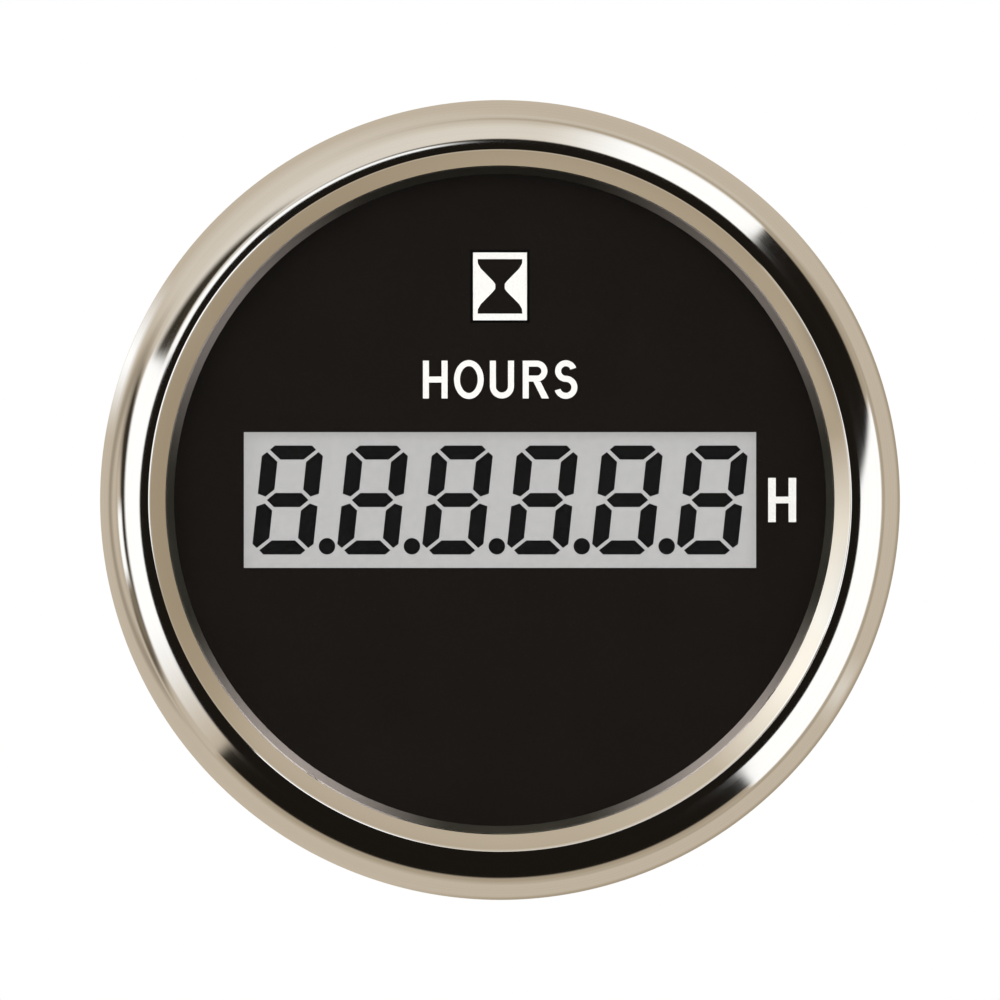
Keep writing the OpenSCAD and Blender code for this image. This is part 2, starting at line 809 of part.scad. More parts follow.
module thumb_nut(side) {
    r = nut_d / 2;
    bore = stud_d / 2 + nut_gap;
    neck_r = stud_d / 2 + 1.9;
    neck_z = spring_washer_z - 1.3;
    edge = 0.4;
    color("Goldenrod") turned() translate([side * stud_spacing / 2, 0, 0]) difference() {
        rotate_extrude() polygon([
            [bore, spring_washer_z], [neck_r, spring_washer_z], [neck_r, neck_z], [r - edge, neck_z],
            [r, neck_z - edge], [r, nut_end_z + edge], [r - edge, nut_end_z],
            [bore + edge, nut_end_z], [bore, nut_end_z + edge]
        ]);
        for (i = [0:nut_grooves - 1])
            rotate([0, 0, i * 360 / nut_grooves]) translate([r, 0, nut_end_z - past])
                linear_extrude(neck_z - nut_end_z + past + 0.01)
                    polygon([[-0.42, 0], [0.3, -0.55], [0.3, 0.55]]);
    }
}

module thumb_nut_left() {
    thumb_nut(-1);
}

module thumb_nut_right() {
    thumb_nut(1);
}

bezel();
lens();
lens_gasket();
dial_ring();
dial_plate();
front_polarizer();
front_glass();
display_segments();
cell_seal();
rear_glass();
rear_polarizer();
diffuser_film();
light_guide();
reflector_film();
backlight_lamps();
display_holder();
upper_contact_strip();
lower_contact_strip();
circuit_board();
board_screws();
microcontroller();
memory_chip();
clock_crystal();
voltage_regulator();
smoothing_capacitor();
input_diode();
surge_suppressor();
housing();
panel_gasket();
stud_left();
stud_right();
supply_terminal();
ground_terminal();
light_terminal();
clamp_bracket();
flat_washers();
spring_washers();
thumb_nut_left();
thumb_nut_right();
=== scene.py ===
# %% [markdown]
# This lesson dresses a round hour meter: a panel gauge with a polished bezel, a black dial and a
# six-digit segment display. The solids come from the imported part, and every one of them keeps its
# place. What Blender adds is the finish of each surface, the ink on the dial, the smooth bezel and
# the cut threads.

# %% Load the gauge
import math

import bmesh
import bpy
from mathutils import Matrix, Vector


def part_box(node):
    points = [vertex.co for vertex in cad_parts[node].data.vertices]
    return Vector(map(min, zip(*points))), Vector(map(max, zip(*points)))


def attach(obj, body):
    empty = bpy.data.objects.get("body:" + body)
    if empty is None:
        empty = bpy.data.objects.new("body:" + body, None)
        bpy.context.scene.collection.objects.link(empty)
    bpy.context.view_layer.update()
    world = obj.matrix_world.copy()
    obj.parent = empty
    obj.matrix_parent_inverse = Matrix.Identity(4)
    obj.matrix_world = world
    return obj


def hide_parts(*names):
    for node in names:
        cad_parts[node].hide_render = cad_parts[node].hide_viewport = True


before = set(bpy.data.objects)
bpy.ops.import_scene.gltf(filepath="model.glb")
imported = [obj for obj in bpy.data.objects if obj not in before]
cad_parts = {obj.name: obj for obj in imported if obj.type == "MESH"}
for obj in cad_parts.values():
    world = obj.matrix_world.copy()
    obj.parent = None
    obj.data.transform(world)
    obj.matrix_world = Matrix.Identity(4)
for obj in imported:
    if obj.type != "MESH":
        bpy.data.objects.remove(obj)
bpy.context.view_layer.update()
print("loaded", len(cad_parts), "nodes")

# %% [markdown]
# The photograph looks straight at the dial through a long lens, so the camera lies on the gauge's
# axis. A 600 mm lens keeps the view nearly flat. The distance is chosen so that the picture is
# 75 mm wide where the bezel is widest. The Standard view shows colours as they are worked out.

# %% Set the camera
MM = 0.001
PICTURE_WIDTH = 75 * MM
BEAD_PLANE = -4.9 * MM

lens_of_camera = bpy.data.cameras.new("straight_view")
lens_of_camera.lens = 600
lens_of_camera.sensor_width = 36
camera = bpy.data.objects.new("straight_view", lens_of_camera)
bpy.context.scene.collection.objects.link(camera)
camera_distance = PICTURE_WIDTH * lens_of_camera.lens / lens_of_camera.sensor_width
camera.location = (0, BEAD_PLANE - camera_distance, 0)
camera.rotation_euler = (math.radians(90), 0, 0)
bpy.context.scene.camera = camera
bpy.context.scene.view_settings.view_transform = "Standard"
print("camera", round(camera_distance, 4), "m in front of the bezel")

# %% [markdown]
# A polished ring shows the room more than its own colour. So the studio is painted on the world as
# soft-edged panels, each placed by two angles: round the gauge, counted from the right, and away
# from the camera. Real lamps would also work, but a painted panel has an edge that is easy to set.

# %% Start the studio
studio = bpy.data.worlds.new("soft_studio")
bpy.context.scene.world = studio
studio.use_nodes = True
studio_nodes = studio.node_tree.nodes
studio_links = studio.node_tree.links
studio_nodes.clear()


def math_node(tree, operation, first, second=0.0, third=0.0):
    node = tree.nodes.new("ShaderNodeMath")
    node.operation = operation
    for socket, value in zip(node.inputs, (first, second, third)):
        if hasattr(value, "is_linked"):
            tree.links.new(value, socket)
        else:
            socket.default_value = value
    return node.outputs[0]


def studio_math(*operation_and_values):
    return math_node(studio.node_tree, *operation_and_values)


direction = studio_nodes.new("ShaderNodeSeparateXYZ")
studio_links.new(studio_nodes.new("ShaderNodeTexCoord").outputs["Generated"], direction.inputs[0])
around = studio_math("DEGREES", studio_math("ARCTAN2", direction.outputs["Z"], direction.outputs["X"]))
toward = studio_math("MULTIPLY", direction.outputs["Y"], -1.0)
away = studio_math("DEGREES", studio_math("ARCCOSINE", toward))
print("studio angles ready")

# %% [markdown]
# A soft step rises smoothly from 0 to 1 at an edge, and the difference of two steps is a soft band. A
# panel is a band round the gauge times a band away from the camera. Its edges may lean, because what
# a ring mirrors is seldom square to both angles.


# %% Write the helpers that paint a panel
def soft_step(value, edge, soft):
    node = studio_nodes.new("ShaderNodeMapRange")
    node.interpolation_type = "SMOOTHSTEP"
    studio_links.new(value, node.inputs["Value"])
    node.inputs["From Min"].default_value = edge - soft
    node.inputs["From Max"].default_value = edge + soft
    return node.outputs["Result"]


def soft_band(value, low, high, soft):
    return studio_math("SUBTRACT", soft_step(value, low, soft), soft_step(value, high, soft))


def paint(under, colour, mask):
    node = studio_nodes.new("ShaderNodeMix")
    node.data_type = "RGBA"
    studio_links.new(mask, node.inputs["Factor"])
    if hasattr(under, "is_linked"):
        studio_links.new(under, node.inputs["A"])
    else:
        node.inputs["A"].default_value = under
    node.inputs["B"].default_value = colour
    return node.outputs["Result"]


def panel(under, colour, turn, turn_soft, tilt, tilt_soft, tilt_lean=(0.0, 0.0), end_lean=0.0):
    middle = (turn[0] + turn[1]) / 2
    half = (turn[1] - turn[0]) / 2
    off = studio_math("WRAP", studio_math("SUBTRACT", around, middle), 180.0, -180.0)
    slid = studio_math("SUBTRACT", away, (tilt[0] + tilt[1]) / 2)
    end = studio_math("SUBTRACT", off, studio_math("MULTIPLY", slid, end_lean))
    across_start = soft_step(off, -half, turn_soft[0])
    across_end = soft_step(end, half, turn_soft[1])
    across = studio_math("MAXIMUM", studio_math("SUBTRACT", across_start, across_end), 0.0)
    near = studio_math("SUBTRACT", away, studio_math("MULTIPLY", off, tilt_lean[0]))
    far = studio_math("SUBTRACT", away, studio_math("MULTIPLY", off, tilt_lean[1]))
    along_start = soft_step(near, tilt[0], tilt_soft[0])
    along_end = soft_step(far, tilt[1], tilt_soft[1])
    along = studio_math("MAXIMUM", studio_math("SUBTRACT", along_start, along_end), 0.0)
    return paint(under, colour, studio_math("MULTIPLY", across, along))


print("panel helpers ready")

# %% [markdown]
# The room starts black near the camera and turns beige further round. The panels are laid over it
# one by one, so a later one covers an earlier one. Each line gives a colour, the angles round the
# gauge and how soft both ends are, then the angles away from the camera and how soft those are.

# %% Paint the studio's panels
BLACK = (0.010, 0.008, 0.006, 1)
DARK = (0.035, 0.028, 0.018, 1)
BROWN = (0.2, 0.16, 0.11, 1)
SHADE = (0.39, 0.32, 0.23, 1)
BEIGE = (0.55, 0.47, 0.365, 1)
LIGHT = (0.65, 0.58, 0.48, 1)
PALE = (0.72, 0.66, 0.57, 1)
WHITE = (1.08, 1.07, 1.05, 1)

room = paint(BLACK, SHADE, soft_step(away, 66, 3))
room = paint(room, BEIGE, soft_step(away, 80, 9))
room = panel(room, BEIGE, (46, 157), (1, 1), (23, 72), (2, 4))
room = panel(room, LIGHT, (100, 152), (25, 8), (60, 112), (8, 25))
room = panel(room, PALE, (46, 157), (0.6, 1), (23, 62), (2, 14))
room = panel(room, WHITE, (46, 76), (0.6, 9), (23, 69), (2, 4))
room = panel(room, WHITE, (311.5, 369), (1, 2), (21, 76), (1.5, 2), end_lean=0.22)
room = panel(room, BEIGE, (157, 222), (2, 1), (27, 80), (3, 3))
room = panel(room, WHITE, (157, 210), (2, 12), (21, 64), (2, 4), tilt_lean=(0.12, 0.0))
room = panel(room, DARK, (125, 157), (9, 1.5), (27, 43), (2, 8), tilt_lean=(0.0, 0.8))
room = panel(room, WHITE, (97, 157), (5, 2), (15, 22), (1.5, 2), tilt_lean=(0.0, 0.1))
room = panel(room, PALE, (328, 334), (4, 4), (84, 126), (8, 14))
room = panel(room, SHADE, (262, 395), (12, 12), (142, 181), (12, 1))
room = panel(room, WHITE, (152, 165), (8, 7), (113, 168), (14, 8))
print("panels painted")

# %% [markdown]
# On the left the ring mirrors something dark with a curved outline, like an eye. Half an ellipse in
# the two studio angles gives its dark upper edge, and a larger half gives the softer lower edge.
# The lip sees the studio at one angle only, so soft bands at that angle set its light and shade.

# %% Paint the dark arc on the left and the bands for the lip
ARC_TURN = 184
ARC_TILT = 79
arc_off = studio_math("WRAP", studio_math("SUBTRACT", around, ARC_TURN), 180.0, -180.0)
arc_down = studio_math("SUBTRACT", away, ARC_TILT)


def arc_distance(half_turn, half_tilt):
    u = studio_math("DIVIDE", arc_off, half_turn)
    v = studio_math("DIVIDE", arc_down, half_tilt)
    squared = studio_math("ADD", studio_math("MULTIPLY", u, u), studio_math("MULTIPLY", v, v))
    return studio_math("SQRT", squared)


below = soft_step(arc_down, 0, 7)
above = studio_math("SUBTRACT", 1.0, below)
lower_edge = studio_math("MULTIPLY", soft_band(arc_distance(30.0, 31.0), 0.62, 1.0, 0.2), below)
upper_edge = studio_math("MULTIPLY", soft_band(arc_distance(27.0, 23.0), 0.42, 0.93, 0.16), above)
room = paint(room, BROWN, studio_math("MULTIPLY", lower_edge, 0.6))
room = paint(room, DARK, upper_edge)
room = panel(room, BROWN, (190, 204), (4, 5), (62, 75), (5, 4))
room = panel(room, WHITE, (181, 192), (2, 2), (67, 78), (3, 2))

LIP_ANGLE = 42
LIP_R_SEEN = 25.7 * MM
LIP_BAND_HALF = 2.5
lip_sees = 2 * LIP_ANGLE - math.degrees(math.atan(LIP_R_SEEN / camera_distance))
lip_band = (lip_sees - LIP_BAND_HALF, lip_sees + LIP_BAND_HALF)
room = panel(room, SHADE, (285, 390), (25, 15), lip_band, (4, 4))
room = panel(room, LIGHT, (40, 98), (10, 10), lip_band, (6, 6))
room = panel(room, BEIGE, (192, 216), (6, 5), lip_band, (2, 2))
print("the lip mirrors the studio at", round(lip_sees, 1), "degrees")

# %% [markdown]
# The camera sees plain white, and everything else sees the painted studio. A switch between two
# shaders does that. Mixing two colours would look the same, but then every white pixel would also
# work out all the panels, and the picture would take much longer.

# %% Switch between white and the studio
mirrored = studio_nodes.new("ShaderNodeBackground")
studio_links.new(room, mirrored.inputs["Color"])
backdrop = studio_nodes.new("ShaderNodeBackground")
backdrop.inputs["Color"].default_value = (1, 1, 1, 1)
switch = studio_nodes.new("ShaderNodeMixShader")
seen = studio_nodes.new("ShaderNodeLightPath").outputs["Is Camera Ray"]
studio_links.new(seen, switch.inputs[0])
studio_links.new(mirrored.outputs[0], switch.inputs[1])
studio_links.new(backdrop.outputs[0], switch.inputs[2])
world_out = studio_nodes.new("ShaderNodeOutputWorld")
studio_links.new(switch.outputs[0], world_out.inputs["Surface"])
print("studio has", len(studio_nodes), "nodes")

# %% [markdown]
# The panels alone leave white ink grey, because they face the bead and not the dial. Two large soft
# lamps in front light the dull surfaces. They are kept out of reflections, or they would show as
# squares in the polished ring. A third lamp behind serves the views of the gauge's back.


# %% Hang the soft lamps
LAMP_SIDE = 0.6


def soft_lamp(name, place, power):
    light = bpy.data.lights.new(name, "AREA")
    light.size = LAMP_SIDE
    light.energy = power
    lamp = bpy.data.objects.new(name, light)
    bpy.context.scene.collection.objects.link(lamp)
    lamp.location = place
    lamp.rotation_euler = (-Vector(place)).to_track_quat("-Z", "Y").to_euler()
    lamp.visible_glossy = False


soft_lamp("front_left_lamp", (-0.3, -1.25, 0.25), 10.5)
soft_lamp("front_right_lamp", (0.3, -1.25, 0.15), 10)
soft_lamp("back_lamp", (0.4, 0.9, 0.6), 8)
print("three soft lamps")

# %% [markdown]
# One bright spot lies on the lip at the lower right, and only there. A panel far away would also show
# in the bead, so this light is a small strip close over the dial, turned to the lip. Its rays spread
# narrowly, so the spot fades along the lip. The camera doesn't see the strip, and it lights nothing
# dull.

# %% Hang the strip for the lip
SPOT_TURN = math.radians(340)
STRIP_FROM_AXIS = 15 * MM
STRIP_FORWARD = 14.2 * MM
STRIP_LENGTH = 24 * MM
STRIP_WIDTH = 6 * MM
STRIP_SPREAD = math.radians(62)
STRIP_POWER = 4.7e-5
to_lip = Vector((math.cos(SPOT_TURN), 0, math.sin(SPOT_TURN)))
shine = to_lip * math.sin(math.radians(lip_sees)) + Vector((0, math.cos(math.radians(lip_sees)), 0))
along = Vector((-math.sin(SPOT_TURN), 0, math.cos(SPOT_TURN)))
strip_light = bpy.data.lights.new("lip_strip", "AREA")
strip_light.shape = "RECTANGLE"
strip_light.size = STRIP_LENGTH
strip_light.size_y = STRIP_WIDTH
strip_light.spread = STRIP_SPREAD
strip_light.energy = STRIP_POWER
strip_light.color = (0.9, 0.95, 1)
strip = bpy.data.objects.new("lip_strip", strip_light)
bpy.context.scene.collection.objects.link(strip)
strip.location = to_lip * -STRIP_FROM_AXIS + Vector((0, -STRIP_FORWARD, 0))
strip.rotation_euler = Matrix((along, (-shine).cross(along), -shine)).transposed().to_euler()
strip.visible_camera = False
strip.visible_diffuse = False
print("strip shines on the lip at", round(math.degrees(SPOT_TURN)), "degrees")

# %% [markdown]
# The floor is a plain pale sheet a little below the gauge. It glows slightly, so that it meets the
# white behind it without a line. It stays out of the reflections for the same reason as the lamps.
# It serves the views from above, and it ends just before it would enter the straight view.

# %% Lay the floor
FLOOR_Z = -0.055
FLOOR_REACH = 0.55
floor_bm = bmesh.new()
bmesh.ops.create_grid(floor_bm, x_segments=1, y_segments=1, size=FLOOR_REACH)
bmesh.ops.translate(floor_bm, vec=(0, 0, FLOOR_Z), verts=floor_bm.verts)
floor_mesh = bpy.data.meshes.new("floor")
floor_bm.to_mesh(floor_mesh)
floor_bm.free()
floor = bpy.data.objects.new("floor", floor_mesh)
bpy.context.scene.collection.objects.link(floor)
pale_floor = bpy.data.materials.new("pale_floor")
pale_floor.use_nodes = True
floor_shader = pale_floor.node_tree.nodes["Principled BSDF"]
floor_shader.inputs["Base Color"].default_value = (0.8, 0.8, 0.8, 1)
floor_shader.inputs["Roughness"].default_value = 0.9
floor_shader.inputs["Emission Color"].default_value = (1, 1, 1, 1)
floor_shader.inputs["Emission Strength"].default_value = 0.75
floor_mesh.materials.append(pale_floor)
floor.visible_glossy = False
floor.visible_diffuse = False
print("floor at", FLOOR_Z, "m")

# %% [markdown]
# Most finishes here follow one recipe: a fine noise in the piece's own coordinates mixes two close
# colours, moves the roughness between two values and raises a slight grain. Painted images could do
# the same, but a recipe of nodes stays sharp at any distance. One helper lays the recipe out, and
# each finish then gives its own colours and grain.


# %% Write the recipe for a grained finish
NOISE_LOW = 0.3
NOISE_HIGH = 0.7
GRAIN_STRENGTH = 0.5


def link_all(material, *pairs):
    for source, target in pairs:
        material.node_tree.links.new(source, target)


def start_finish(name):
    material = bpy.data.materials.new(name)
    material.use_nodes = True
    nodes = material.node_tree.nodes
    return material, nodes, nodes["Principled BSDF"]


def object_noise(material, size_mm, detail=3, stretch=(1, 1, 1)):
    nodes = material.node_tree.nodes
    place = nodes.new("ShaderNodeMapping")
    place.inputs["Scale"].default_value = stretch
    noise = nodes.new("ShaderNodeTexNoise")
    noise.inputs["Scale"].default_value = 1 / (size_mm * MM)
    noise.inputs["Detail"].default_value = detail
    coordinates = nodes.new("ShaderNodeTexCoord")
    link_all(
        material,
        (coordinates.outputs["Object"], place.inputs["Vector"]),
        (place.outputs["Vector"], noise.inputs["Vector"]),
    )
    return noise.outputs["Fac"]


def mix_colours(material, factor, first, second, low=0.35, high=0.65):
    ramp = material.node_tree.nodes.new("ShaderNodeValToRGB")
    ramp.color_ramp.elements[0].position = low
    ramp.color_ramp.elements[0].color = (*first, 1)
    ramp.color_ramp.elements[1].position = high
    ramp.color_ramp.elements[1].color = (*second, 1)
    link_all(material, (factor, ramp.inputs["Fac"]))
    return ramp.outputs["Color"]


def spread(material, factor, low, high):
    node = material.node_tree.nodes.new("ShaderNodeMapRange")
    node.inputs["From Min"].default_value = NOISE_LOW
    node.inputs["From Max"].default_value = NOISE_HIGH
    node.inputs["To Min"].default_value = low
    node.inputs["To Max"].default_value = high
    link_all(material, (factor, node.inputs["Value"]))
    return node.outputs["Result"]


def raise_grain(material, shader, factor, height_mm):
    bump = material.node_tree.nodes.new("ShaderNodeBump")
    bump.inputs["Distance"].default_value = height_mm * MM
    bump.inputs["Strength"].default_value = GRAIN_STRENGTH
    link_all(material, (factor, bump.inputs["Height"]), (bump.outputs["Normal"], shader.inputs["Normal"]))


def grained(name, first, second, grain_mm, rough, metal=0.0, height_mm=0.0, stretch=(1, 1, 1),
            alpha=1.0, gloss=0.5):
    material, _, shader = start_finish(name)
    grain = object_noise(material, grain_mm, stretch=stretch)
    shader.inputs["Specular IOR Level"].default_value = gloss
    link_all(
        material,
        (mix_colours(material, grain, first, second), shader.inputs["Base Color"]),
        (spread(material, grain, *rough), shader.inputs["Roughness"]),
    )
    shader.inputs["Metallic"].default_value = metal
    shader.inputs["Alpha"].default_value = alpha
    if height_mm:
        raise_grain(material, shader, grain, height_mm)
    return material


def dress(node, material):
    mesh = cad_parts[node].data
    mesh.materials.clear()
    mesh.materials.append(material)


print("recipe ready")

# %% [markdown]
# The pieces are drawn as the part's own source draws them: in millimetres, along z with the dial
# toward +z. One turn then brings a piece into the gauge's frame. A helper merges doubles, points the
# faces outward, makes the object and lets it ride on its body.

# %% Write the helper that finishes a piece
TURNED = Matrix.Rotation(math.radians(90), 4, "X") @ Matrix.Scale(MM, 4)
MERGE_MM = 0.0005


def finish_piece(bm, name, material, body, sharp_angle=30, smooth=True):
    bmesh.ops.remove_doubles(bm, verts=bm.verts, dist=MERGE_MM)
    bmesh.ops.recalc_face_normals(bm, faces=bm.faces)
    bmesh.ops.transform(bm, matrix=TURNED, verts=bm.verts)
    mesh = bpy.data.meshes.new(name)
    bm.to_mesh(mesh)
    bm.free()
    mesh.materials.append(material)
    for polygon in mesh.polygons:
        polygon.use_smooth = smooth
    mesh.set_sharp_from_angle(angle=math.radians(sharp_angle))
    piece = bpy.data.objects.new(name, mesh)
    bpy.context.scene.collection.objects.link(piece)
    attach(piece, body)
    print(name, len(mesh.vertices), "points,", len(mesh.polygons), "faces")
    return piece


print("pieces are drawn in millimetres, turned and scaled by", MM)

# %% [markdown]
# The bezel is spun from sheet metal and polished: a round bead, a small crest, a lip that slopes in
# to the lens and a crimp behind the flange. Its reflections show every facet, so the section is
# drawn again with fine arcs and spun in 256 steps. The section has the sizes of the solid.

# %% Spin the bezel
BEZEL_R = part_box("bezel")[1].x / MM
BEZEL_TOP = -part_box("bezel")[0].y / MM
BEZEL_REAR = -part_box("bezel")[1].y / MM
SHEET = 0.5
BEAD_R = 3.65
CREST_EDGE = 0.2
LIP_W = 1.3
LIP_EDGE = 0.25
CRIMP_W = 2.1
CRIMP_BEND = 0.8
CREST_R = BEZEL_R - BEAD_R
LIP_R = CREST_R - LIP_W
BEAD_Z = BEZEL_TOP - BEAD_R
LIP_Z = -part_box("lens_gasket")[0].y / MM


def arc(centre_r, centre_z, radius, start, end, steps):
    angles = [math.radians(start + (end - start) * i / steps) for i in range(steps + 1)]
    return [(centre_r + radius * math.cos(a), centre_z + radius * math.sin(a)) for a in angles]


bezel_outside = [(BEZEL_R - CRIMP_W, BEZEL_REAR)]
bezel_outside += arc(BEZEL_R - CRIMP_BEND, BEZEL_REAR + CRIMP_BEND, CRIMP_BEND, -90, 0, 8)
bezel_outside += arc(CREST_R, BEAD_Z, BEAD_R, 0, 90, 48)
bezel_outside += arc(CREST_R, BEZEL_TOP - CREST_EDGE, CREST_EDGE, 90, 90 + LIP_ANGLE, 8)[1:]
bezel_outside += [(LIP_R, LIP_Z + LIP_EDGE), (LIP_R, LIP_Z)]
in_r = CREST_R + (SHEET - CREST_EDGE) * math.tan(math.radians(LIP_ANGLE / 2))
in_z = BEZEL_TOP - SHEET
bezel_inside = [(in_r - (in_z - LIP_Z) / math.tan(math.radians(LIP_ANGLE)), LIP_Z), (in_r, in_z)]
bezel_inside += arc(CREST_R, BEAD_Z, BEAD_R - SHEET, 86, 0, 16)
bezel_inside += arc(BEZEL_R - CRIMP_BEND, BEZEL_REAR + CRIMP_BEND, CRIMP_BEND - SHEET, 0, -90, 4)
bezel_inside += [(BEZEL_R - CRIMP_W, BEZEL_REAR + SHEET)]


def spun(section, steps=256):
    bm = bmesh.new()
    corners = [bm.verts.new((r, 0, z)) for r, z in section]
    edges = [bm.edges.new((a, b)) for a, b in zip(corners, corners[1:] + corners[:1])]
    bmesh.ops.spin(
        bm,
        geom=corners + edges,
        cent=(0, 0, 0),
        axis=(0, 0, 1),
        dvec=(0, 0, 0),
        angle=math.radians(360),
        steps=steps,
        use_merge=True,
    )
    return bm


bezel_bm = spun(bezel_outside + bezel_inside)
print("bezel section", len(bezel_outside) + len(bezel_inside), "points")

# %% [markdown]
# Polished metal takes its colour from what it mirrors, so its own tint is nearly neutral. A lathe
# polish leaves very fine rings. Here a noise is read by distance from the axis and by depth, which
# makes those rings. The lip inside the crest is only satin, so it is duller. Its colour is also
# darker and warmer: painted shade that dims what the lip mirrors. The distance from the axis also
# tells where the lip begins.

# %% Polish the bezel
polished, polished_nodes, polished_shader = start_finish("polished_bezel")
bezel_xyz = polished_nodes.new("ShaderNodeSeparateXYZ")
from_axis = polished_nodes.new("ShaderNodeVectorMath")
from_axis.operation = "LENGTH"
flat_xyz = polished_nodes.new("ShaderNodeVectorMath")
flat_xyz.operation = "MULTIPLY"
flat_xyz.inputs[1].default_value = (1, 0, 1)
ring_place = polished_nodes.new("ShaderNodeCombineXYZ")
ring_noise = polished_nodes.new("ShaderNodeTexNoise")
ring_noise.inputs["Scale"].default_value = 6000
bezel_coordinates = polished_nodes.new("ShaderNodeTexCoord")
on_lip = polished_nodes.new("ShaderNodeMath")
on_lip.operation = "LESS_THAN"
on_lip.inputs[1].default_value = (CREST_R - CREST_EDGE) * MM
# Painted shade: the lip's colour is darker and warmer than the bead's, which dims its reflection.
lip_painted_shade = polished_nodes.new("ShaderNodeMix")
lip_painted_shade.data_type = "RGBA"
lip_painted_shade.inputs["B"].default_value = (0.8, 0.765, 0.7, 1)
bezel_dullness = polished_nodes.new("ShaderNodeMath")
bezel_dullness.operation = "MULTIPLY_ADD"
bezel_dullness.inputs[1].default_value = 0.02
link_all(
    polished,
    (bezel_coordinates.outputs["Object"], bezel_xyz.inputs[0]),
    (bezel_coordinates.outputs["Object"], flat_xyz.inputs[0]),
    (flat_xyz.outputs[0], from_axis.inputs[0]),
    (from_axis.outputs["Value"], ring_place.inputs["X"]),
    (bezel_xyz.outputs["Y"], ring_place.inputs["Y"]),
    (ring_place.outputs[0], ring_noise.inputs["Vector"]),
    (from_axis.outputs["Value"], on_lip.inputs[0]),
    (on_lip.outputs[0], bezel_dullness.inputs[0]),
    (spread(polished, ring_noise.outputs["Fac"], 0.05, 0.08), bezel_dullness.inputs[2]),
    (bezel_dullness.outputs[0], polished_shader.inputs["Roughness"]),
    (on_lip.outputs[0], lip_painted_shade.inputs["Factor"]),
    (
        mix_colours(polished, ring_noise.outputs["Fac"], (0.92, 0.92, 0.92), (0.95, 0.95, 0.94)),
        lip_painted_shade.inputs["A"],
    ),
    (lip_painted_shade.outputs["Result"], polished_shader.inputs["Base Color"]),
)
polished_shader.inputs["Metallic"].default_value = 1.0
bezel = finish_piece(bezel_bm, "polished_bezel", polished, "gauge")
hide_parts("bezel")

# %% [markdown]
# The lens is clear acrylic, so what matters is what shows through it. It is a surface of low, constant
# opacity over a dark base, which keeps its gloss and adds no haze. True refraction would be closer to
# glass, but it is slow and noisy, and it bends nothing that the photograph shows.

# %% Make the lens clear
clear_lens = grained("clear_lens", (0.02, 0.022, 0.022), (0.03, 0.03, 0.03), 6, (0.03, 0.05), alpha=0.04)
clear_guide = grained("clear_guide", (0.88, 0.92, 0.94), (0.95, 0.96, 0.97), 4, (0.1, 0.16), alpha=0.4)
dress("lens", clear_lens)
dress("light_guide", clear_guide)
print("clear: lens and light guide")

# %% [markdown]
# The display's front is a glass with a film bonded to it, and the two read as one pane. Each clear
# face takes one of the few passes that light may make, both on the way in and on the way out. So one
# slab with eased edges stands for both, and the grey of the cell is laid on the rear glass.

# %% Lay the front pane
film_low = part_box("front_polarizer")[0]
glass_low, glass_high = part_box("front_glass")
PANE_REAR = -glass_high.y / MM
PANE_FRONT = -film_low.y / MM
pane_size = ((glass_high.x - glass_low.x) / MM, (glass_high.z - glass_low.z) / MM, PANE_FRONT - PANE_REAR)
pane_bm = bmesh.new()
pane_place = Matrix.Translation((0, 0, (PANE_FRONT + PANE_REAR) / 2)) @ Matrix.Diagonal((*pane_size, 1))
bmesh.ops.create_cube(pane_bm, size=1, matrix=pane_place)
bmesh.ops.bevel(
    pane_bm, geom=pane_bm.edges[:], offset=0.06, affect="EDGES", segments=2, profile=0.5, material=-1
)
pane_glass = grained("display_pane", (0.02, 0.02, 0.02), (0.03, 0.03, 0.03), 6, (0.1, 0.14), alpha=0.02)
pane = finish_piece(pane_bm, "display_pane", pane_glass, "gauge", smooth=False)
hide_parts("front_polarizer", "front_glass")

# %% [markdown]
# The dial is a satin black plate. The display shows black segments on the grey of the cell, which is
# lit from behind: lamps and a light guide lie under it. So most of its grey is a faint glow, which
# also keeps it even up to the window's edges. Noise keeps each finish from looking like flat paint.

# %% Finish the dial and the display
satin_black = grained("satin_black_dial", (0.0051, 0.0036, 0.0027), (0.0069, 0.005, 0.0038), 0.3,
                      (0.55, 0.65), height_mm=0.002, gloss=0.06)
segment_black = grained("segment_black", (0.0028, 0.0028, 0.0028), (0.0042, 0.0042, 0.0042), 0.4,
                        (0.5, 0.6), gloss=0.1)
display_grey = grained("display_grey", (0.1, 0.1, 0.1), (0.13, 0.13, 0.13), 0.5, (0.55, 0.65))
backlit = display_grey.node_tree.nodes["Principled BSDF"]
backlit.inputs["Emission Color"].default_value = (1, 0.99, 0.98, 1)
backlit.inputs["Emission Strength"].default_value = 0.435
dress("dial_plate", satin_black)
dress("display_segments", segment_black)
dress("rear_glass", display_grey)
dress("rear_polarizer", display_grey)
print("dial and display dressed")

# %% [markdown]
# The thin ring round the dial is a glossier dark grey. Four painted highlights make it paler in four
# places round its rim. The angle about the axis is read from the piece's own coordinates, four soft
# bumps are placed on it, and they mix a paler grey into the ring as painted highlights.

# %% Finish the ring round the dial
ring_grey, ring_nodes, ring_shader = start_finish("glossy_grey_ring")
ring_xyz = ring_nodes.new("ShaderNodeSeparateXYZ")
# Angle round the axis, half width in degrees and amount of each painted highlight
PAINTED_HIGHLIGHTS = ((43, 36, 0.72), (144, 34, 0.66), (231, 32, 1.0), (314, 32, 0.94))
SPECKLE = 0.08


def ring_math(*operation_and_values):
    return math_node(ring_grey.node_tree, *operation_and_values)


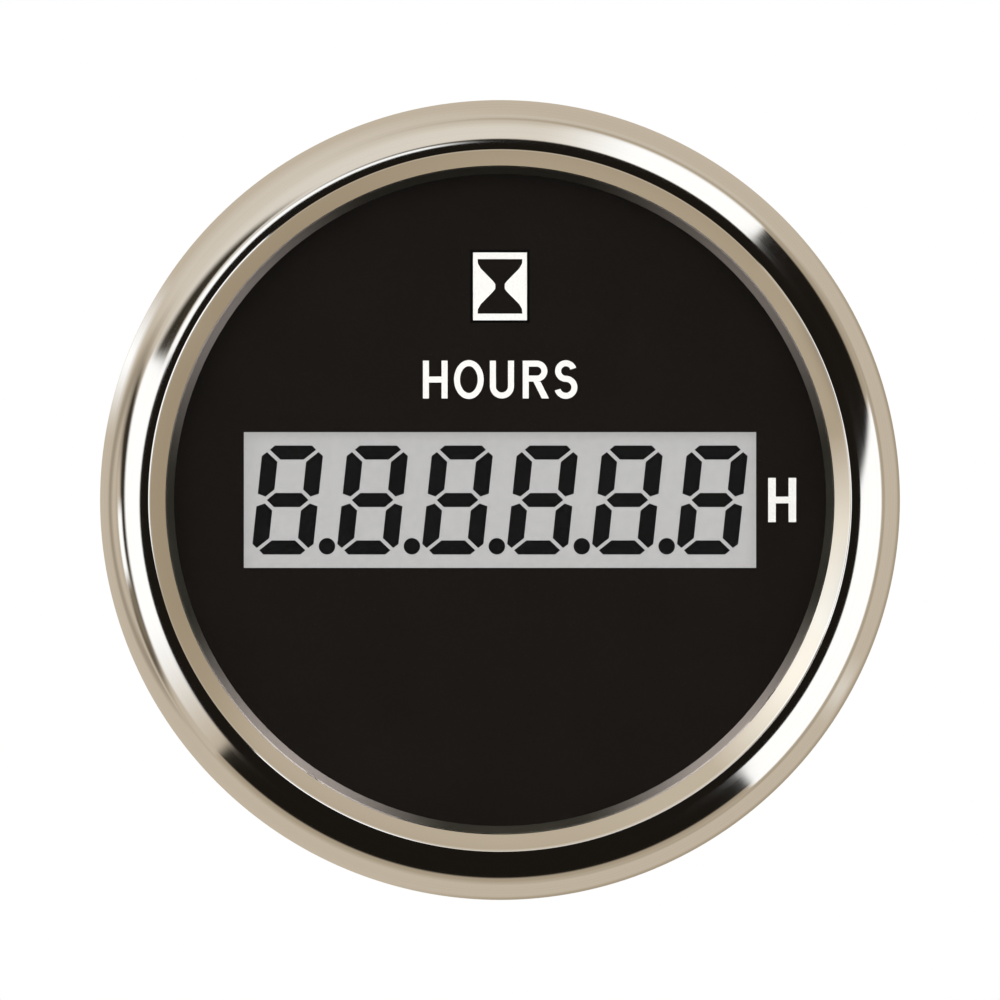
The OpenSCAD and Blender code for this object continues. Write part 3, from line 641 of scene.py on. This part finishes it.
link_all(ring_grey, (ring_nodes.new("ShaderNodeTexCoord").outputs["Object"], ring_xyz.inputs[0]))
ring_turn = ring_math("DEGREES", ring_math("ARCTAN2", ring_xyz.outputs["Z"], ring_xyz.outputs["X"]))
# Painted highlights: four soft bumps that mix a paler grey into the ring's colour.
highlight = 0.0
for place, width, amount in PAINTED_HIGHLIGHTS:
    ring_off = ring_math("WRAP", ring_math("SUBTRACT", ring_turn, place), 180.0, -180.0)
    near = ring_math("SUBTRACT", 1.0, ring_math("DIVIDE", ring_math("ABSOLUTE", ring_off), width))
    near = ring_math("MAXIMUM", near, 0.0)
    squared = ring_math("MULTIPLY", near, near)
    rounded = ring_math("MULTIPLY", squared, ring_math("MULTIPLY_ADD", near, -2.0, 3.0))
    highlight = ring_math("MULTIPLY_ADD", rounded, amount, highlight)
ring_grain = object_noise(ring_grey, 1.2)
speckle = ring_math("MULTIPLY", ring_math("SUBTRACT", ring_grain, 0.5), SPECKLE)
highlight_and_speckle = ring_math("ADD", highlight, speckle)
# The second, paler colour is the painted highlight; the speckle is the ring's own grain.
link_all(
    ring_grey,
    (
        mix_colours(ring_grey, highlight_and_speckle, (0.056, 0.054, 0.042), (0.67, 0.605, 0.58), 0, 1),
        ring_shader.inputs["Base Color"],
    ),
    (spread(ring_grey, ring_grain, 0.3, 0.38), ring_shader.inputs["Roughness"]),
)
dress("dial_ring", ring_grey)
print("ring dressed with four lighter places")

# %% [markdown]
# The dial carries three prints: the usual hourglass sign for running time, the word HOURS and the
# unit letter. A font would bring its own letter shapes, so the letters are built from bars and
# arcs: a bar is a grid of one face, and an arc is a short edge spun about a centre. The flat shapes
# are then pushed out to the thickness of ink.

# %% Draw bars and arcs of ink
INK_T = 0.02
STROKE = 0.45
DIAL_FRONT = -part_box("dial_plate")[0].y / MM


def bar(bm, left, right, bottom, top, lean=0.0):
    middle = (bottom + top) / 2
    stretched = Matrix.Diagonal((right - left, top - bottom, 1, 1))
    place = Matrix.Translation(((left + right) / 2, middle, 0)) @ stretched
    made = bmesh.ops.create_grid(bm, x_segments=1, y_segments=1, size=0.5, matrix=place)
    for corner in made["verts"]:
        corner.co.x += lean * (corner.co.y - middle)


def curve_of_ink(bm, x, y, radius, start, end, stroke=STROKE):
    a = math.radians(start)
    ends = []
    for r in (radius - stroke / 2, radius + stroke / 2):
        ends.append(bm.verts.new((x + r * math.cos(a), y + r * math.sin(a), 0)))
    edge = bm.edges.new(ends)
    bmesh.ops.spin(
        bm,
        geom=ends + [edge],
        cent=(x, y, 0),
        axis=(0, 0, 1),
        dvec=(0, 0, 0),
        angle=math.radians(end - start),
        steps=24,
    )


def ink(bm, name, material, thickness=INK_T):
    bmesh.ops.remove_doubles(bm, verts=bm.verts, dist=MERGE_MM)
    pushed = bmesh.ops.extrude_face_region(bm, geom=bm.faces[:], use_keep_orig=True)
    top = [item for item in pushed["geom"] if isinstance(item, bmesh.types.BMVert)]
    bmesh.ops.translate(bm, vec=(0, 0, thickness), verts=top)
    bmesh.ops.translate(bm, vec=(0, 0, DIAL_FRONT), verts=bm.verts)
    finish_piece(bm, name, material, "gauge", smooth=False)


print("ink is", INK_T, "mm thick on the dial at", round(DIAL_FRONT, 3), "mm")

# %% [markdown]
# The five letters share one stroke and one height. Each takes its place from its own left or right
# edge, and round letters reach a little past the lines, as printed ones do.

# %% Letter the word
white_ink = grained("white_ink", (0.74, 0.73, 0.705), (0.82, 0.815, 0.795), 0.15, (0.5, 0.6))
WORD_Y = 9.05
CAP = 2.84
half = CAP / 2
low = WORD_Y - half
high = WORD_Y + half
word = bmesh.new()

H_LEFT = -5.79
H_RIGHT = -3.94
bar(word, H_LEFT, H_LEFT + STROKE, low, high)
bar(word, H_RIGHT - STROKE, H_RIGHT, low, high)
bar(word, H_LEFT + STROKE, H_RIGHT - STROKE, WORD_Y - STROKE / 2, WORD_Y + STROKE / 2)

O_X = -2.34
O_HALF_W = 1.115
O_HALF_H = half + 0.04
oval_rims = []
for inset in (0, STROKE):
    oval = Matrix.Diagonal((O_HALF_W - inset, O_HALF_H - inset, 1, 1))
    shape = Matrix.Translation((O_X, WORD_Y, 0)) @ oval
    made = bmesh.ops.create_circle(word, segments=64, radius=1, matrix=shape)
    oval_rims += list({edge for corner in made["verts"] for edge in corner.link_edges})
bmesh.ops.bridge_loops(word, edges=oval_rims)

U_LEFT = -0.76
U_RIGHT = 1.05
cup = (U_RIGHT - U_LEFT - STROKE) / 2
cup_y = low + cup + STROKE / 2
bar(word, U_LEFT, U_LEFT + STROKE, cup_y, high)
bar(word, U_RIGHT - STROKE, U_RIGHT, cup_y, high)
curve_of_ink(word, (U_LEFT + U_RIGHT) / 2, cup_y, cup, 180, 360)

R_LEFT = 1.71
BOWL_X = 2.77
BOWL = 0.56
LEG_LEFT = 2.82
LEG_RIGHT = 3.36
bowl_y = high - STROKE / 2 - BOWL
bowl_foot = bowl_y - BOWL - STROKE / 2
bar(word, R_LEFT, R_LEFT + STROKE, low, high)
bar(word, R_LEFT + STROKE, BOWL_X, high - STROKE, high)
bar(word, R_LEFT + STROKE, BOWL_X, bowl_foot, bowl_foot + STROKE)
curve_of_ink(word, BOWL_X, bowl_y, BOWL, -90, 90)
bar(word, LEG_LEFT, LEG_RIGHT, low, bowl_foot, lean=-0.5)

S_X = 4.95
OVERSHOOT = 0.03
UPPER = 0.585
lower = (CAP - STROKE) / 2 + OVERSHOOT - UPPER
curve_of_ink(word, S_X, high + OVERSHOOT - STROKE / 2 - UPPER, UPPER, 18, 270)
curve_of_ink(word, S_X, low - OVERSHOOT + STROKE / 2 + lower, lower, 90, -164)
ink(word, "printed_word", white_ink)

# %% [markdown]
# The unit letter beside the window is larger and heavier than the word, so it has its own sizes.

# %% Letter the unit
UNIT_X = 21.2
UNIT_HALF_W = 1.05
UNIT_INNER = 0.48
UNIT_HALF_H = 1.66
UNIT_HALF_BAR = 0.25
unit = bmesh.new()
bar(unit, UNIT_X - UNIT_HALF_W, UNIT_X - UNIT_INNER, -UNIT_HALF_H, UNIT_HALF_H)
bar(unit, UNIT_X + UNIT_INNER, UNIT_X + UNIT_HALF_W, -UNIT_HALF_H, UNIT_HALF_H)
bar(unit, UNIT_X - UNIT_INNER, UNIT_X + UNIT_INNER, -UNIT_HALF_BAR, UNIT_HALF_BAR)
ink(unit, "printed_unit", white_ink)

# %% [markdown]
# The hourglass sign is white ink round two dark bulbs, which are bare dial. So only the white is
# made: a bar above, a bar below and a filler on each side. The filler's inner edge follows the
# bulbs through a few points, and its other side is a mirror image. A black line frames the sign.

# %% Print the hourglass sign
SIGN_Y = 16.05
SIGN_HALF_W = 2.025
SIGN_HALF_H = 2.545
WAIST = 0.35
BULB = [(1.68, 2.05), (1.66, 1.72), (1.45, 1.34), (0.98, 0.86), (0.55, 0.43), (0.37, 0.2)]
sign = bmesh.new()
bulb_edge = BULB + [(WAIST, 0)] + [(x, -y) for x, y in reversed(BULB)]
outline = bulb_edge + [(SIGN_HALF_W, -BULB[0][1]), (SIGN_HALF_W, BULB[0][1])]
sign.faces.new([sign.verts.new((x, y, 0)) for x, y in outline])
bmesh.ops.mirror(sign, geom=sign.verts[:] + sign.edges[:] + sign.faces[:], axis="X", merge_dist=0.0001)
bar(sign, -SIGN_HALF_W, SIGN_HALF_W, BULB[0][1], SIGN_HALF_H)
bar(sign, -SIGN_HALF_W, SIGN_HALF_W, -SIGN_HALF_H, -BULB[0][1])
bmesh.ops.recalc_face_normals(sign, faces=sign.faces)
bmesh.ops.translate(sign, vec=(0, SIGN_Y, 0), verts=sign.verts)
ink(sign, "printed_hourglass", white_ink)

black_ink = grained("black_ink", (0.0004, 0.0004, 0.0004), (0.0008, 0.0008, 0.0008), 0.3, (0.7, 0.8),
                    gloss=0)
LINE_W = 0.2
line = bmesh.new()
for side in (-1, 1):
    x = side * (SIGN_HALF_W + LINE_W / 2)
    bar(line, x - LINE_W / 2, x + LINE_W / 2, SIGN_Y - SIGN_HALF_H, SIGN_Y + SIGN_HALF_H)
    y = SIGN_Y + side * (SIGN_HALF_H + LINE_W / 2)
    bar(line, -SIGN_HALF_W - LINE_W, SIGN_HALF_W + LINE_W, y - LINE_W / 2, y + LINE_W / 2)
ink(line, "printed_frame_line", black_ink, thickness=INK_T / 2)

# %% [markdown]
# The studs behind the panel are threaded rods. The solid is a plain rod, and here it gets its thread:
# one tooth of the thread is drawn and spun with a rise at each step, which is how a helix is made.
# The ends are cut flat with a plane, and the two holes that this leaves are filled, so that the rod is
# closed. The hexagon head sits in its pocket in the rear wall.

# %% Cut the threads
PITCH = 0.7
STUD_R = 2.0
ROOT_R = 1.59
TIP_CHAMFER = 0.6
HEAD_R = 3.5
HEAD_T = 2.2
STUD_X = 15
STEPS_PER_TURN = 36
TOOTH = [(ROOT_R, 0), (ROOT_R, 0.09), (STUD_R, 0.31), (STUD_R, 0.39), (ROOT_R, 0.61), (ROOT_R, PITCH)]
brass = grained("bright_brass", (0.72, 0.5, 0.2), (0.8, 0.58, 0.26), 0.8, (0.22, 0.32), metal=1.0)


def threaded_stud(name, side, node):
    low_corner, high_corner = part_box(node)
    rear = -high_corner.y / MM
    head_top = -low_corner.y / MM
    turns = math.ceil((head_top - rear) / PITCH) + 2
    start = rear - PITCH
    bm = bmesh.new()
    corners = [bm.verts.new((r, 0, start + z)) for r, z in TOOTH]
    edges = [bm.edges.new((a, b)) for a, b in zip(corners, corners[1:])]
    bmesh.ops.spin(
        bm,
        geom=corners + edges,
        cent=(0, 0, 0),
        axis=(0, 0, 1),
        dvec=(0, 0, PITCH / STEPS_PER_TURN),
        angle=math.radians(360 * turns),
        steps=STEPS_PER_TURN * turns,
    )
    bmesh.ops.remove_doubles(bm, verts=bm.verts, dist=0.001)
    for height, way in ((rear, -1), (head_top - HEAD_T / 2, 1)):
        everything = bm.verts[:] + bm.edges[:] + bm.faces[:]
        bmesh.ops.bisect_plane(
            bm, geom=everything, plane_co=(0, 0, height), plane_no=(0, 0, way), clear_outer=True
        )
    rims = [edge for edge in bm.edges if edge.is_boundary]
    bmesh.ops.holes_fill(bm, edges=rims)
    for corner in bm.verts:
        radius = math.hypot(corner.co.x, corner.co.y)
        most = STUD_R - TIP_CHAMFER + (corner.co.z - rear)
        if radius > most:
            corner.co.x *= most / radius
            corner.co.y *= most / radius
    head = Matrix.Translation((0, 0, head_top - HEAD_T / 2))
    bmesh.ops.create_cone(
        bm, cap_ends=True, segments=6, radius1=HEAD_R, radius2=HEAD_R, depth=HEAD_T, matrix=head
    )
    bmesh.ops.translate(bm, vec=(side * STUD_X, 0, 0), verts=bm.verts)
    stud = finish_piece(bm, name, brass, "gauge", sharp_angle=28)
    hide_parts(node)


threaded_stud("left_threaded_stud", -1, "stud_left")
threaded_stud("right_threaded_stud", 1, "stud_right")

# %% [markdown]
# The housing is moulded black plastic with a fine spark grain. The gaskets are dull rubber. A bump
# from a small noise gives the grain, and its height stays in hundredths of a millimetre.

# %% Finish the housing and the rubber
moulded_black = grained("moulded_black", (0.008, 0.008, 0.0085), (0.016, 0.016, 0.017), 0.25, (0.42, 0.58),
                        height_mm=0.02, gloss=0.35)
holder_black = grained("holder_black", (0.018, 0.018, 0.02), (0.028, 0.028, 0.03), 0.3, (0.5, 0.6),
                       height_mm=0.01)
rubber = grained("dull_rubber", (0.012, 0.012, 0.012), (0.02, 0.019, 0.019), 0.4, (0.75, 0.88),
                 height_mm=0.02)
dress("housing", moulded_black)
dress("display_holder", holder_black)
for gasket in ("lens_gasket", "panel_gasket"):
    dress(gasket, rubber)
print("housing, holder and gaskets dressed")

# %% [markdown]
# The clamp strap and the washers are zinc-plated steel. Zinc has a cool grey with soft cloudy
# patches, and rolled strip shows fine lines along its length, so the noise is stretched that way.
# The nuts and blades are brass like the studs.

# %% Finish the metal behind the panel
zinc_strap = grained("zinc_strap", (0.5, 0.52, 0.54), (0.66, 0.67, 0.68), 1.2, (0.28, 0.42), metal=1.0,
                     stretch=(0.15, 0.6, 1), height_mm=0.004)
zinc_washer = grained("zinc_washer", (0.56, 0.57, 0.58), (0.7, 0.7, 0.7), 1.0, (0.24, 0.36), metal=1.0)
spring_steel = grained("spring_steel", (0.2, 0.2, 0.21), (0.3, 0.3, 0.31), 0.8, (0.3, 0.42), metal=1.0)
nut_brass = grained("nut_brass", (0.68, 0.47, 0.19), (0.78, 0.56, 0.25), 0.6, (0.24, 0.36), metal=1.0,
                    height_mm=0.004)
blade_brass = grained("blade_brass", (0.7, 0.52, 0.24), (0.79, 0.6, 0.3), 1.0, (0.26, 0.38), metal=1.0,
                      stretch=(1, 0.2, 1))
dress("clamp_bracket", zinc_strap)
dress("flat_washers", zinc_washer)
dress("spring_washers", spring_steel)
for nut in ("thumb_nut_left", "thumb_nut_right"):
    dress(nut, nut_brass)
for blade in ("supply_terminal", "ground_terminal", "light_terminal"):
    dress(blade, blade_brass)
dress("board_screws", zinc_washer)
print("metal pieces dressed")

# %% [markdown]
# The rest is inside and only shows if someone opens the gauge. Each piece still has the look of its
# kind: white films, striped contact strips, a green board, black chips and bright cans. The stripes
# come from a wave texture across the strip.

# %% Finish the inside
white_film = grained("white_film", (0.84, 0.84, 0.82), (0.9, 0.9, 0.88), 1.5, (0.6, 0.7))
lamp_white = grained("lamp_white", (0.85, 0.8, 0.6), (0.92, 0.88, 0.7), 0.5, (0.3, 0.4))
seal_grey = grained("seal_grey", (0.42, 0.42, 0.42), (0.5, 0.5, 0.5), 0.5, (0.5, 0.6))
board_green = grained("board_green", (0.006, 0.06, 0.022), (0.012, 0.1, 0.04), 1.6, (0.25, 0.4),
                      height_mm=0.01)
chip_black = grained("chip_black", (0.012, 0.012, 0.013), (0.022, 0.022, 0.023), 0.2, (0.5, 0.65),
                     height_mm=0.008)
bright_can = grained("bright_can", (0.6, 0.61, 0.62), (0.74, 0.74, 0.75), 1.0, (0.2, 0.32), metal=1.0)

striped, striped_nodes, striped_shader = start_finish("striped_strip")
stripes = striped_nodes.new("ShaderNodeTexWave")
stripes.bands_direction = "X"
stripes.inputs["Scale"].default_value = 900
link_all(
    striped,
    (striped_nodes.new("ShaderNodeTexCoord").outputs["Object"], stripes.inputs["Vector"]),
    (
        mix_colours(striped, stripes.outputs["Fac"], (0.02, 0.02, 0.02), (0.3, 0.3, 0.31)),
        striped_shader.inputs["Base Color"],
    ),
)
striped_shader.inputs["Roughness"].default_value = 0.7

INSIDE = {
    "diffuser_film": white_film,
    "reflector_film": white_film,
    "backlight_lamps": lamp_white,
    "cell_seal": seal_grey,
    "upper_contact_strip": striped,
    "lower_contact_strip": striped,
    "circuit_board": board_green,
    "microcontroller": chip_black,
    "memory_chip": chip_black,
    "voltage_regulator": chip_black,
    "input_diode": chip_black,
    "surge_suppressor": chip_black,
    "clock_crystal": bright_can,
    "smoothing_capacitor": bright_can,
}
for node, material in INSIDE.items():
    dress(node, material)
print("inside pieces dressed:", len(INSIDE))
